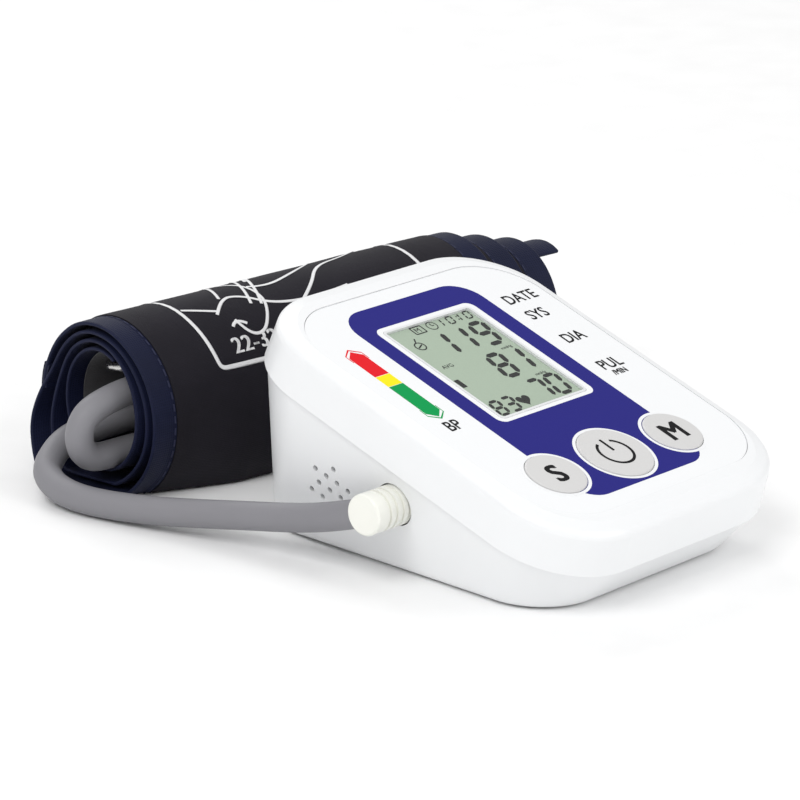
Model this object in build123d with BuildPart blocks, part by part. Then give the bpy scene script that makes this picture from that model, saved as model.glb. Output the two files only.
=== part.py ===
"""Upper arm blood pressure monitor with its rolled cuff and air hose, in millimetres.

The frame stands at the centre of the monitor's base, on the table: +X to the reader's right,
+Y away from the reader, +Z up. The display face slopes down towards the reader.
"""

from build123d import *
import math
import os

os.makedirs("parts", exist_ok=True)

# Monitor housing: a slab parallel to the sloping face over a wedge that stands on the base.
face_slope = 18.1
face_centre_y = -8.8
face_centre_z = 44.2
housing_width = 101.2
housing_length = 124.6
housing_corner = 25.0
upper_depth = 13.8
crown_taper = 4.0
band_width = 4.7
band_drop = 1.4
crown_radius = 2.6
wall = 2.0
top_wall = 2.6
seam_gap = 0.35
seam_step = 0.9
lip_height = 2.0
lip_thickness = 1.0
lip_clearance = 0.4
base_width = 86.8
base_length = 105.8
base_corner = 18.0
base_edge_radius = 3.0
foot_height = 0.5
slide_gap = 0.15

# Face plate, display and buttons, placed from the centre of the face.
plate_width = 90.4
plate_length = 106.2
plate_corner = 18.5
plate_thickness = 0.8
recess_depth = 1.0
display_x = -2.15
display_v = 13.75
window_width = 36.1
window_length = 46.1
window_corner = 1.6
bezel_width = 0.8
window_ledge = 1.6
power_radius = 10.8
side_button_radius = 8.6
side_button_spread = 24.7
button_v = -34.6
button_rise = 0.5
button_flange = 1.3
button_skirt = 1.6
button_shell = 1.2

# Circuit board and what it carries, as depths square to the face.
board_depth = 11.6
board_thickness = 1.6
board_width = 82.0
board_length = 94.0
board_v = -3.0
board_corner = 12.0
glass_depth = 4.0
glass_thickness = 2.8
glass_width = 42.0
glass_length = 52.0
holder_wall = 2.0
strip_width = 2.4
switch_size = 6.0
switch_height = 3.5
stem_radius = 1.7
stem_rise = 0.9
stem_pocket = 2.0
board_screws = ((-34.0, 20.0), (34.0, 20.0), (-12.5, -46.0), (12.5, -46.0))

# Housing screws, vertical, from under the base into the top housing.
screw_points = ((-36.5, -28.0), (36.5, -28.0), (-35.5, 40.0), (35.5, 40.0))
screw_radius = 1.3
screw_head_radius = 2.7
screw_head_height = 1.8
screw_bite = 7.0
boss_radius = 3.6
boss_below_seam = 3.0
foot_radius = 4.5
foot_sink = 0.8
feet_points = ((-24.0, -43.0), (24.0, -43.0), (-34.0, 26.0), (34.0, 26.0))

# Battery compartment under the rear of the base.
cell_radius = 5.1
cell_length = 43.3
cell_nub_radius = 1.9
cell_nub_length = 1.1
cell_count = 4
cell_gap = 0.7
cell_play = 0.5
spring_length = 4.2
spring_radius = 2.9
spring_wire = 0.35
spring_turns = 4
contact_thickness = 0.4
contact_size = 8.4
tub_wall = 1.5
tub_front = 4.0
door_thickness = 1.5
door_rim = 1.6
door_gap = 0.25

# Air jack, sound holes and power inlet in the side and rear walls.
jack_y = -4.0
jack_z = 20.6
jack_sink = 4.368
jack_clearance = 0.4
jack_boss_wall = 1.2
jack_flange = 2.0
jack_tube_wall = 1.35
jack_fit = 0.1
jack_depth = 12.0
jack_tail_reach = 3.0
hole_radius = 0.85
hole_pitch = 4.05
sound_y = 21.0
sound_z = 22.2
sound_rows = ((-1, 0, 1), (0, -2, 4), (1, -2, 3), (2, -1, 2))
buzzer_radius = 9.0
buzzer_thickness = 4.0
buzzer_sink = 3.995
buzzer_y = 24.5
buzzer_z = 20.0
inlet_sink = 3.413
inlet_y = 10.0
inlet_z = 15.0
inlet_radius = 2.85
inlet_pin_radius = 1.0
inlet_depth = 9.5
inlet_body = 10.0

# Pump behind the board, manifold and valve in front of it, sensor under the board.
pump_y = 39.5
pump_z = 30.5
pump_head_x = -14.0
pump_head_length = 17.0
pump_head_side = 21.0
motor_radius = 10.1
motor_length = 25.0
shaft_radius = 1.0
running_gap = 0.05
eccentric_radius = 4.0
eccentric_offset = 1.0
eccentric_length = 5.0
chamber_gap = 1.0
saddle_width = 18.0
saddle_length = 15.0
saddle_rise = 5.0
manifold_x = -27.5
manifold_y = 22.0
manifold_z = 25.5
manifold_width = 11.0
manifold_length = 9.0
manifold_height = 16.0
low_port_z = 20.6
high_port_z = 30.5
nipple_radius = 1.6
nipple_length = 4.0
tube_radius = 2.4
valve_x = -8.0
valve_z = 26.0
valve_length = 14.0
valve_side = 13.0
plunger_radius = 1.5
plunger_length = 9.0
plunger_out = 3.0
plunger_travel = 0.6
sensor_v = -6.5
sensor_side = 8.0
sensor_height = 4.5
nozzle_drop = 2.8

# Elbow plug and hose.
hose_diameter = 8.0
plug_radius = 5.7
plug_body_length = 14.0
plug_stand = 2.8
plug_edge = 0.8
ring_depth = 0.55
ring_pitch = 2.5
ring_width = 1.5
ring_count = 4
plug_nipple_radius = 2.95
plug_nipple_length = 11.0
seal_depth = 0.9
seal_width = 1.8
seal_from_end = 4.0
outlet_from_inner = 8.8
outlet_droop = 20.0
outlet_radius = 3.6
outlet_neck = 0.7
hose_lead = 11.6
hose_points = (
    (-55.7, 26.0, 11.2),
    (-58.2, 40.0, 8.9),
    (-61.9, 54.0, 6.8),
    (-65.9, 67.5, 5.2),
    (-69.4, 80.0, 4.4),
    (-71.6, 91.5, 4.3),
    (-71.0, 101.2, 5.4),
    (-67.2, 108.6, 7.9),
    (-55.1, 112.3, 13.2),
    (-43.0, 108.7, 15.1),
    (-21.3, 105.4, 15.1),
    (6.5, 101.5, 15.2),
    (34.1, 97.4, 15.2),
    (58.9, 93.7, 15.1),
    (76.6, 91.0, 15.0),
    (85.5, 89.7, 15.0),
    (89.9, 87.1, 16.9),
    (92.1, 83.6, 20.3),
    (91.5, 79.9, 24.1),
    (88.4, 77.1, 27.5),
    (83.5, 75.9, 29.5),
    (74.6, 77.1, 29.6),
    (56.9, 80.0, 29.4),
    (32.0, 83.1, 29.6),
    (4.4, 87.8, 29.4),
    (-23.3, 91.5, 29.6),
    (-43.1, 94.6, 29.4),
    (-52.5, 95.9, 28.4),
    (-60.9, 96.9, 25.9),
    (-63.8, 97.5, 22.4),
    (-64.4, 97.9, 17.8),
    (-62.4, 98.0, 13.5),
    (-58.4, 97.8, 11.1),
    (-49.8, 97.0, 11.2),
)

# Cuff, rolled about an axis that lies on the table behind the monitor.
roll_left = (-54.0, 102.8)
roll_angle = -8.4
roll_radius = 23.2
sheet_thickness = 2.0
sheet_gap = 0.3
half_turn_count = 6
tail_arc = 115.0
cuff_width = 132.0
left_step = 2.0
right_step = 6.0
binding_width = 8.0
bladder_thickness = 0.9
bladder_cover = 0.5
bladder_play = 0.05
bladder_inset = 9.0
port_l = 36.0
port_angle = 250.0
port_stand = 4.25
port_reach = 6.0
port_disc_radius = 4.0
port_disc_thickness = 1.0
port_neck_radius = 2.0
port_collar_radius = 3.4
port_collar_length = 1.4
port_barb_radius = 2.2
bar_wire = 1.2
bar_width = 9.0
bar_length = 142.0
bar_corner = 3.0
bar_l = 8.0
bar_angle = 80.0
bar_stand = 2.7
patch_thickness = 0.5
patch_start = 3.0
patch_sweep = 30.0
patch_inset = 20.0
label_thickness = 0.3
label_start = 35.0
label_sweep = 40.0
label_l = 16.0
label_width = 40.0

slope = math.radians(face_slope)
face = Plane(
    origin=(0, face_centre_y, face_centre_z),
    x_dir=(1, 0, 0),
    z_dir=(0, -math.sin(slope), math.cos(slope)),
)
belt = face.offset(-upper_depth - seam_gap)
square_to_face = Axis(face.origin, face.z_dir)


def face_height(y):
    """Height of the sloping face above the table at a given y."""
    return face_centre_z + (y - face_centre_y) * math.tan(slope)


def boss_split(y):
    """Height at which the lower screw boss meets the upper one."""
    return face_height(y) - upper_depth / math.cos(slope) - boss_below_seam


def side_wall(y, z):
    """Half width of the bottom housing at a point of its side."""
    belt_height = face_height(y) - (upper_depth + seam_gap) / math.cos(slope)
    rise = (z - foot_height) / (belt_height - foot_height)
    return base_width / 2 + rise * (housing_width / 2 - seam_step - base_width / 2)


def depth_of(shape):
    """Depth of a shape's centre below the face, square to it."""
    return -face.to_local_coords(shape.center()).Z


# Sizes and places that follow from the piece they fit.
cell_pitch = 2 * cell_radius + cell_gap
chamber_radius = eccentric_radius + eccentric_offset + chamber_gap
jack_recess_radius = plug_radius + jack_clearance
jack_boss_radius = jack_recess_radius + jack_boss_wall
jack_bore_radius = plug_nipple_radius + jack_fit
jack_tube_radius = jack_bore_radius + jack_tube_wall
jack_seat_x = jack_sink - side_wall(jack_y, jack_z)
plug_inner_x = jack_seat_x - plug_stand
plug_end_x = plug_inner_x - plug_body_length
outlet_x = plug_inner_x - outlet_from_inner
outlet_reach = plug_radius + outlet_neck
buzzer_x = buzzer_sink - side_wall(buzzer_y, buzzer_z)
inlet_x = side_wall(inlet_y, inlet_z) - inlet_sink

# --- Top housing -------------------------------------------------------------------------
plate_hole_radii = (
    (display_x, power_radius + slide_gap),
    (display_x - side_button_spread, side_button_radius + slide_gap),
    (display_x + side_button_spread, side_button_radius + slide_gap),
)

with BuildPart() as top_housing:
    with BuildSketch(face.offset(-upper_depth)):
        RectangleRounded(housing_width, housing_length, housing_corner)
    extrude(amount=upper_depth, taper=crown_taper)
    crown = top_housing.faces().sort_by(square_to_face)[-1]
    chamfer(crown.edges(), length=band_width, length2=band_drop, reference=crown)
    shoulder = top_housing.edges().filter_by(lambda e: abs(depth_of(e) - band_drop) < 0.1)
    fillet(shoulder, radius=crown_radius)
    with BuildSketch(face.offset(-upper_depth)):
        RectangleRounded(housing_width - 2 * wall, housing_length - 2 * wall, housing_corner - wall)
    extrude(amount=upper_depth - top_wall, taper=crown_taper, mode=Mode.SUBTRACT)
    for x, y in screw_points:
        with BuildSketch(Plane.XY.offset(boss_split(y) + slide_gap)):
            with Locations((x, y)):
                Circle(boss_radius)
        extrude(amount=face_height(y - boss_radius) - 0.2 - boss_split(y) - slide_gap)
    with BuildSketch(face.offset(-board_depth)):
        with Locations(*board_screws):
            Circle(boss_radius - 0.6)
    extrude(amount=board_depth - (top_wall + recess_depth) / 2)
    with BuildSketch(face.offset(-recess_depth)):
        RectangleRounded(plate_width, plate_length, plate_corner)
    extrude(amount=recess_depth, mode=Mode.SUBTRACT)
    with BuildSketch(face.offset(-top_wall)):
        with Locations((display_x, display_v)):
            RectangleRounded(window_width - 2 * window_ledge, window_length - 2 * window_ledge, window_corner)
        for x, radius in plate_hole_radii:
            with Locations((x, button_v)):
                Circle(radius)
    extrude(amount=top_wall, mode=Mode.SUBTRACT)
    for x, y in screw_points:
        with BuildSketch(Plane.XY.offset(boss_split(y))):
            with Locations((x, y)):
                Circle(screw_radius)
        extrude(amount=screw_bite, mode=Mode.SUBTRACT)
    with BuildSketch(face.offset(-board_depth)):
        with Locations(*board_screws):
            Circle(screw_radius)
    extrude(amount=board_depth - top_wall, mode=Mode.SUBTRACT)
top_housing.part.label = "top_housing"
export_step(top_housing.part, "parts/top_housing.step")

# --- Bottom housing ----------------------------------------------------------------------
spring_space = spring_length + cell_play
tub_width = cell_length + cell_nub_length + spring_space + 2 * contact_thickness
tub_length = cell_count * cell_pitch + cell_play
tub_y = tub_front + tub_length / 2
tub_top = foot_height + door_thickness + cell_play + 2 * cell_radius + cell_play
door_width = tub_width + 2 * door_rim
door_length = tub_length + 2 * door_rim

with BuildPart() as lower_space:
    with BuildSketch(Plane.XY.offset(foot_height + wall)):
        RectangleRounded(base_width - 2 * wall, base_length - 2 * wall, base_corner - wall)
    with BuildSketch(belt):
        inset = 2 * (seam_step + wall)
        RectangleRounded(housing_width - inset, housing_length - inset, housing_corner - inset / 2)
    loft(ruled=True)
    with BuildSketch(Plane.XY):
        with Locations((0, tub_y)):
            Rectangle(tub_width + 2 * tub_wall, tub_length + 2 * tub_wall)
    extrude(amount=tub_top + tub_wall, mode=Mode.SUBTRACT)
    for x, y in screw_points:
        with BuildSketch(Plane.XY):
            with Locations((x, y)):
                Circle(boss_radius)
        extrude(amount=boss_split(y), mode=Mode.SUBTRACT)
    with BuildSketch(Plane.YZ.offset(jack_seat_x)):
        with Locations((jack_y, jack_z)):
            Circle(jack_boss_radius)
    extrude(amount=-wall * 4, mode=Mode.SUBTRACT)

with BuildPart() as bottom_housing:
    with BuildSketch(Plane.XY.offset(foot_height)):
        RectangleRounded(base_width, base_length, base_corner)
    with BuildSketch(belt):
        inset = 2 * seam_step
        RectangleRounded(housing_width - inset, housing_length - inset, housing_corner - inset / 2)
    loft(ruled=True)
    fillet(bottom_housing.faces().sort_by(Axis.Z)[0].edges(), radius=base_edge_radius)
    add(lower_space.part, mode=Mode.SUBTRACT)
    with BuildSketch(belt):
        inset = 2 * (wall + lip_clearance)
        RectangleRounded(housing_width - inset, housing_length - inset, housing_corner - inset / 2)
        offset(amount=-lip_thickness, mode=Mode.SUBTRACT)
    extrude(amount=lip_height)
    with BuildSketch(Plane.XY):
        with Locations((0, tub_y)):
            Rectangle(tub_width, tub_length)
    extrude(amount=tub_top, mode=Mode.SUBTRACT)
    with BuildSketch(Plane.XY):
        with Locations((0, tub_y)):
            Rectangle(door_width, door_length)
    extrude(amount=foot_height + door_thickness, mode=Mode.SUBTRACT)
    for x, y in screw_points:
        with BuildSketch(Plane.XY):
            with Locations((x, y)):
                Circle(screw_head_radius + slide_gap)
        extrude(amount=foot_height + 2 * screw_head_height, mode=Mode.SUBTRACT)
        with BuildSketch(Plane.XY):
            with Locations((x, y)):
                Circle(screw_radius + slide_gap)
        extrude(amount=boss_split(y), mode=Mode.SUBTRACT)
    with BuildSketch(Plane.XY):
        with Locations(*feet_points):
            Circle(foot_radius + slide_gap)
    extrude(amount=foot_height + foot_sink, mode=Mode.SUBTRACT)
    with BuildSketch(Plane.YZ.offset(jack_seat_x)):
        with Locations((jack_y, jack_z)):
            Circle(jack_recess_radius)
    extrude(amount=-wall * 5, mode=Mode.SUBTRACT)
    with BuildSketch(Plane.YZ.offset(jack_seat_x)):
        for row, first, count in sound_rows:
            for column in range(first, first + count):
                along = (column + row / 2) * hole_pitch
                across = row * hole_pitch * math.sqrt(3) / 2
                y = sound_y + along * math.cos(slope) + across * math.sin(slope)
                z = sound_z + along * math.sin(slope) - across * math.cos(slope)
                with Locations((y, z)):
                    Circle(hole_radius)
    extrude(amount=-wall * 5, mode=Mode.SUBTRACT)
    with BuildSketch(Plane.YZ.offset(inlet_x)):
        with Locations((inlet_y, inlet_z)):
            Circle(inlet_radius + 1.2)
    extrude(amount=wall * 4, mode=Mode.SUBTRACT)
    # Seats in the leaning side walls for what stands square against them.
    with BuildSketch(Plane.YZ.offset(jack_seat_x)):
        with Locations((jack_y, jack_z)):
            Circle(jack_boss_radius)
    extrude(amount=jack_flange, mode=Mode.SUBTRACT)
    with BuildSketch(Plane.YZ.offset(buzzer_x)):
        with Locations((buzzer_y, buzzer_z)):
            Circle(buzzer_radius)
    extrude(amount=buzzer_thickness, mode=Mode.SUBTRACT)
    with BuildSketch(Plane.YZ.offset(inlet_x)):
        with Locations((inlet_y, inlet_z)):
            Rectangle(inlet_body, inlet_body)
    extrude(amount=-inlet_depth, mode=Mode.SUBTRACT)
bottom_housing.part.label = "bottom_housing"
export_step(bottom_housing.part, "parts/bottom_housing.step")

# --- Face plate, bezel and window --------------------------------------------------------
with BuildPart() as face_plate:
    with BuildSketch(face.offset(-recess_depth)):
        RectangleRounded(plate_width - 2 * slide_gap, plate_length - 2 * slide_gap, plate_corner - slide_gap)
        with Locations((display_x, display_v)):
            RectangleRounded(window_width, window_length, window_corner, mode=Mode.SUBTRACT)
        for x, radius in plate_hole_radii:
            with Locations((x, button_v)):
                Circle(radius, mode=Mode.SUBTRACT)
    extrude(amount=plate_thickness)
face_plate.part.label = "face_plate"
export_step(face_plate.part, "parts/face_plate.step")

with BuildPart() as display_bezel:
    with BuildSketch(face.offset(-recess_depth)):
        with Locations((display_x, display_v)):
            RectangleRounded(
                window_width - slide_gap, window_length - slide_gap, window_corner - slide_gap / 2
            )
            rim = slide_gap + 2 * bezel_width
            RectangleRounded(
                window_width - rim, window_length - rim, window_corner - rim / 2, mode=Mode.SUBTRACT
            )
    extrude(amount=plate_thickness + slide_gap / 2)
display_bezel.part.label = "display_bezel"
export_step(display_bezel.part, "parts/display_bezel.step")

with BuildPart() as display_window:
    with BuildSketch(face.offset(-recess_depth)):
        with Locations((display_x, display_v)):
            rim = 2 * slide_gap + 2 * bezel_width
            RectangleRounded(window_width - rim, window_length - rim, window_corner - rim / 2)
    extrude(amount=plate_thickness)
display_window.part.label = "display_window"
export_step(display_window.part, "parts/display_window.step")

# --- Display stack -----------------------------------------------------------------------
glass_back = glass_depth + glass_thickness
with BuildPart() as lcd_glass:
    with BuildSketch(face.offset(-glass_back)):
        with Locations((display_x, display_v)):
            Rectangle(glass_width, glass_length)
    extrude(amount=glass_thickness)
lcd_glass.part.label = "lcd_glass"
export_step(lcd_glass.part, "parts/lcd_glass.step")

with BuildPart() as lcd_holder:
    holder_width = glass_width + 2 * (slide_gap + holder_wall)
    holder_length = glass_length + 2 * (slide_gap + holder_wall)
    with BuildSketch(face.offset(-board_depth)):
        with Locations((display_x, display_v)):
            Rectangle(holder_width, holder_length)
            Rectangle(glass_width - 2 * holder_wall, glass_length, mode=Mode.SUBTRACT)
    extrude(amount=board_depth - glass_back)
    with BuildSketch(face.offset(-glass_back)):
        with Locations((display_x, display_v)):
            Rectangle(holder_width, holder_length)
            Rectangle(glass_width + 2 * slide_gap, glass_length + 2 * slide_gap, mode=Mode.SUBTRACT)
    extrude(amount=glass_back - top_wall - slide_gap)
lcd_holder.part.label = "lcd_holder"
export_step(lcd_holder.part, "parts/lcd_holder.step")

with BuildPart() as connector_strips:
    with BuildSketch(face.offset(-board_depth)):
        with Locations((display_x, display_v)):
            with GridLocations(0, glass_length - 2 * strip_width, 1, 2):
                Rectangle(glass_width - 4 * holder_wall, strip_width)
    extrude(amount=board_depth - glass_back)
connector_strips.part.label = "connector_strips"
export_step(connector_strips.part, "parts/connector_strips.step")

# --- Circuit board and board screws ------------------------------------------------------
with BuildPart() as main_board:
    with BuildSketch(face.offset(-board_depth - board_thickness)):
        with Locations((0, board_v)):
            RectangleRounded(board_width, board_length, board_corner)
        with Locations(*board_screws):
            Circle(screw_radius + slide_gap, mode=Mode.SUBTRACT)
    extrude(amount=board_thickness)
    with BuildSketch(Plane.XY):
        with Locations(*screw_points):
            Circle(boss_radius + 2 * slide_gap)
    extrude(amount=face_height(base_length / 2), mode=Mode.SUBTRACT)
main_board.part.label = "main_board"
export_step(main_board.part, "parts/main_board.step")

with BuildPart() as board_screw_set:
    with BuildSketch(face.offset(-board_depth - board_thickness - screw_head_height)):
        with Locations(*board_screws):
            Circle(screw_head_radius)
    extrude(amount=screw_head_height)
    with BuildSketch(face.offset(-board_depth - board_thickness)):
        with Locations(*board_screws):
            Circle(screw_radius)
    extrude(amount=board_thickness + screw_bite)
board_screw_set.part.label = "board_screws"
export_step(board_screw_set.part, "parts/board_screws.step")

# --- Buttons, stems and switches ---------------------------------------------------------
switch_top = board_depth - switch_height
stem_top = switch_top - stem_rise
flange_top = top_wall + slide_gap
button_places = (
    ("power", display_x, power_radius),
    ("set", display_x - side_button_spread, side_button_radius),
    ("memory", display_x + side_button_spread, side_button_radius),
)

with BuildPart() as tact_switches:
    with BuildSketch(face.offset(-board_depth)):
        for _, x, _ in button_places:
            with Locations((x, button_v)):
                Rectangle(switch_size, switch_size)
    extrude(amount=switch_height)
    with BuildSketch(face.offset(-switch_top - stem_pocket)):
        for _, x, _ in button_places:
            with Locations((x, button_v)):
                Circle(stem_radius + running_gap)
    extrude(amount=stem_pocket, mode=Mode.SUBTRACT)
tact_switches.part.label = "tact_switches"
export_step(tact_switches.part, "parts/tact_switches.step")

for name, x, radius in button_places:
    with BuildPart() as button:
        with BuildSketch(face.offset(-flange_top - button_skirt)):
            with Locations((x, button_v)):
                Circle(radius + button_flange)
        extrude(amount=button_skirt)
        with BuildSketch(face.offset(-flange_top)):
            with Locations((x, button_v)):
                Circle(radius)
        extrude(amount=flange_top + button_rise - recess_depth + plate_thickness)
        fillet(button.edges().sort_by(square_to_face)[-1], radius=button_rise)
        with BuildSketch(face.offset(-flange_top - button_skirt)):
            with Locations((x, button_v)):
                Circle(radius - button_shell)
        extrude(amount=flange_top + button_skirt - button_shell, mode=Mode.SUBTRACT)
        with BuildSketch(face.offset(-stem_top)):
            with Locations((x, button_v)):
                Circle(stem_radius + 0.4)
        extrude(amount=stem_top - button_shell / 2)
    button.part.label = name + "_button"
    export_step(button.part, f"parts/{name}_button.step")
    with BuildPart() as stem:
        with BuildSketch(face.offset(-stem_top)):
            with Locations((x, button_v)):
                Circle(stem_radius)
        extrude(amount=-stem_rise - stem_pocket / 2)
    stem.part.label = name + "_stem"
    export_step(stem.part, f"parts/{name}_stem.step")

# --- Housing screws and feet -------------------------------------------------------------
with BuildPart() as housing_screws:
    seat = foot_height + 2 * screw_head_height
    for x, y in screw_points:
        with BuildSketch(Plane.XY.offset(seat)):
            with Locations((x, y)):
                Circle(screw_head_radius)
        extrude(amount=-screw_head_height)
        with BuildSketch(Plane.XY.offset(seat)):
            with Locations((x, y)):
                Circle(screw_radius)
        extrude(amount=boss_split(y) + screw_bite - slide_gap - seat)
housing_screws.part.label = "housing_screws"
export_step(housing_screws.part, "parts/housing_screws.step")

with BuildPart() as rubber_feet:
    with BuildSketch(Plane.XY):
        with Locations(*feet_points):
            Circle(foot_radius)
    extrude(amount=foot_height + foot_sink)
rubber_feet.part.label = "rubber_feet"
export_step(rubber_feet.part, "parts/rubber_feet.step")

# --- Batteries, springs, contacts and door -----------------------------------------------
cell_z = foot_height + door_thickness + cell_play + cell_radius
cell_rows = [(tub_front + cell_play / 2 + cell_pitch * (i + 0.5), (-1) ** i) for i in range(cell_count)]
contact_face = tub_width / 2 - contact_thickness

with BuildPart() as battery_cells:
    for y, side in cell_rows:
        with BuildSketch(Plane.YZ.offset(side * contact_face)):
            with Locations((y, cell_z)):
                Circle(cell_nub_radius)
        extrude(amount=-side * cell_nub_length)
        with BuildSketch(Plane.YZ.offset(side * (contact_face - cell_nub_length))):
            with Locations((y, cell_z)):
                Circle(cell_radius)
        extrude(amount=-side * cell_length)
battery_cells.part.label = "battery_cells"
export_step(battery_cells.part, "parts/battery_cells.step")

with BuildPart() as battery_contacts:
    for side in (-1, 1):
        with BuildSketch(Plane.YZ.offset(side * contact_face)):
            for y, _ in cell_rows:
                with Locations((y, cell_z)):
                    RectangleRounded(contact_size, contact_size, 1.0)
        extrude(amount=side * contact_thickness)
battery_contacts.part.label = "battery_contacts"
export_step(battery_contacts.part, "parts/battery_contacts.step")

coil_height = spring_space - 2 * spring_wire - 2 * running_gap
with BuildPart() as battery_springs:
    for y, side in cell_rows:
        foot_x = -side * (contact_face - spring_wire - running_gap)
        with BuildLine() as coil:
            Helix(
                pitch=coil_height / spring_turns,
                height=coil_height,
                radius=spring_radius,
                center=(foot_x, y, cell_z),
                direction=(side, 0, 0),
            )
        with BuildSketch(Plane(origin=coil.line @ 0, z_dir=coil.line % 0)):
            Circle(spring_wire)
        sweep(path=coil.line, is_frenet=True)
battery_springs.part.label = "battery_springs"
export_step(battery_springs.part, "parts/battery_springs.step")

with BuildPart() as battery_door:
    with BuildSketch(Plane.XY.offset(foot_height)):
        with Locations((0, tub_y)):
            Rectangle(door_width - 2 * door_gap, door_length - 2 * door_gap)
    extrude(amount=door_thickness - running_gap)
    fillet(battery_door.edges().filter_by(Axis.Z), radius=door_rim - door_gap)
    with BuildSketch(Plane.XY.offset(foot_height)):
        with Locations((0, tub_y - door_length / 4)):
            with GridLocations(0, 2.4, 1, 4):
                Rectangle(14, 1)
    extrude(amount=door_thickness / 3, mode=Mode.SUBTRACT)
battery_door.part.label = "battery_door"
export_step(battery_door.part, "parts/battery_door.step")

# --- Air jack, buzzer and power inlet ----------------------------------------------------
jack_line = Plane(origin=(jack_seat_x, jack_y, jack_z), z_dir=(1, 0, 0))
with BuildPart() as air_jack:
    with BuildSketch(jack_line):
        Circle(jack_boss_radius)
    extrude(amount=jack_flange)
    with BuildSketch(jack_line):
        Circle(jack_tube_radius)
    extrude(amount=manifold_x + jack_tail_reach - jack_seat_x)
    with BuildSketch(jack_line):
        Circle(jack_bore_radius)
    extrude(amount=jack_depth, mode=Mode.SUBTRACT)
    with BuildSketch(Plane.XZ.offset(-jack_y)):
        with Locations((manifold_x, jack_z)):
            Circle(nipple_radius)
    extrude(amount=-jack_tube_radius - nipple_length)
air_jack.part.label = "air_jack"
export_step(air_jack.part, "parts/air_jack.step")

with BuildPart() as buzzer:
    with BuildSketch(Plane.YZ.offset(buzzer_x)):
        with Locations((buzzer_y, buzzer_z)):
            Circle(buzzer_radius)
    extrude(amount=buzzer_thickness)
    fillet(buzzer.edges().group_by(Axis.X)[-1], radius=0.6)
buzzer.part.label = "buzzer"
export_step(buzzer.part, "parts/buzzer.step")

with BuildPart() as power_inlet:
    with BuildSketch(Plane.YZ.offset(inlet_x)):
        with Locations((inlet_y, inlet_z)):
            Rectangle(inlet_body, inlet_body)
    extrude(amount=-inlet_depth - 1.5)
    with BuildSketch(Plane.YZ.offset(inlet_x)):
        with Locations((inlet_y, inlet_z)):
            Circle(inlet_radius)
            Circle(inlet_pin_radius, mode=Mode.SUBTRACT)
    extrude(amount=-inlet_depth, mode=Mode.SUBTRACT)
power_inlet.part.label = "power_inlet"
export_step(power_inlet.part, "parts/power_inlet.step")

# --- Air pump ----------------------------------------------------------------------------
motor_x = pump_head_x + pump_head_length
pump_line = Plane(origin=(motor_x, pump_y, pump_z), z_dir=(1, 0, 0))
with BuildPart() as pump_head:
    with BuildSketch(pump_line):
        RectangleRounded(pump_head_side, pump_head_side, 3)
    extrude(amount=-pump_head_length)
    with BuildSketch(pump_line):
        Circle(chamber_radius)
    extrude(amount=-eccentric_length - 1, mode=Mode.SUBTRACT)
    with BuildSketch(pump_line.offset(-pump_head_length)):
        Circle(nipple_radius)
    extrude(amount=-nipple_length)
pump_head.part.label = "pump_head"
export_step(pump_head.part, "parts/pump_head.step")

with BuildPart() as pump_motor:
    with BuildSketch(pump_line):
        Circle(motor_radius)
    extrude(amount=motor_length)
    fillet(pump_motor.edges().sort_by(Axis.X)[-1], radius=1.2)
    with BuildSketch(pump_line):
        Circle(shaft_radius + running_gap)
    extrude(amount=motor_length - 1, mode=Mode.SUBTRACT)
pump_motor.part.label = "pump_motor"
export_step(pump_motor.part, "parts/pump_motor.step")

with BuildPart() as motor_shaft:
    with BuildSketch(pump_line.offset(-eccentric_length)):
        Circle(shaft_radius)
    extrude(amount=eccentric_length + motor_length - 1.5)
    with BuildSketch(pump_line.offset(-0.3)):
        with Locations((eccentric_offset, 0)):
            Circle(eccentric_radius)
    extrude(amount=0.3 - eccentric_length)
motor_shaft.part.label = "motor_shaft"
export_step(motor_shaft.part, "parts/motor_shaft.step")

with BuildPart() as pump_saddle:
    saddle_base = tub_top + tub_wall + running_gap
    with BuildSketch(Plane.XY.offset(saddle_base)):
        with Locations((motor_x + motor_length / 2, pump_y)):
            Rectangle(saddle_width, saddle_length)
    extrude(amount=pump_z - motor_radius + saddle_rise / 2 - saddle_base)
    with BuildSketch(pump_line):
        Circle(motor_radius + running_gap)
    extrude(amount=motor_length, mode=Mode.SUBTRACT)
pump_saddle.part.label = "pump_saddle"
export_step(pump_saddle.part, "parts/pump_saddle.step")

# --- Manifold, valve, sensor and inner tubes ---------------------------------------------
manifold_front = manifold_y - manifold_length / 2
manifold_back = manifold_y + manifold_length / 2
with BuildPart() as air_manifold:
    with BuildSketch(Plane.XY.offset(manifold_z - manifold_height / 2)):
        with Locations((manifold_x, manifold_y)):
            RectangleRounded(manifold_width, manifold_length, 1.5)
    extrude(amount=manifold_height)
    with BuildSketch(Plane.XZ.offset(-manifold_y)):
        with Locations((manifold_x, low_port_z), (manifold_x, high_port_z)):
            Circle(nipple_radius)
    extrude(amount=manifold_length / 2 + nipple_length)
    with BuildSketch(Plane.XZ.offset(-manifold_y)):
        with Locations((manifold_x, high_port_z)):
            Circle(nipple_radius)
    extrude(amount=-manifold_length / 2 - nipple_length)
    with BuildSketch(Plane.YZ.offset(manifold_x)):
        with Locations((manifold_y, valve_z)):
            Circle(nipple_radius)
    extrude(amount=manifold_width / 2 + nipple_length)
air_manifold.part.label = "air_manifold"
export_step(air_manifold.part, "parts/air_manifold.step")

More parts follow.
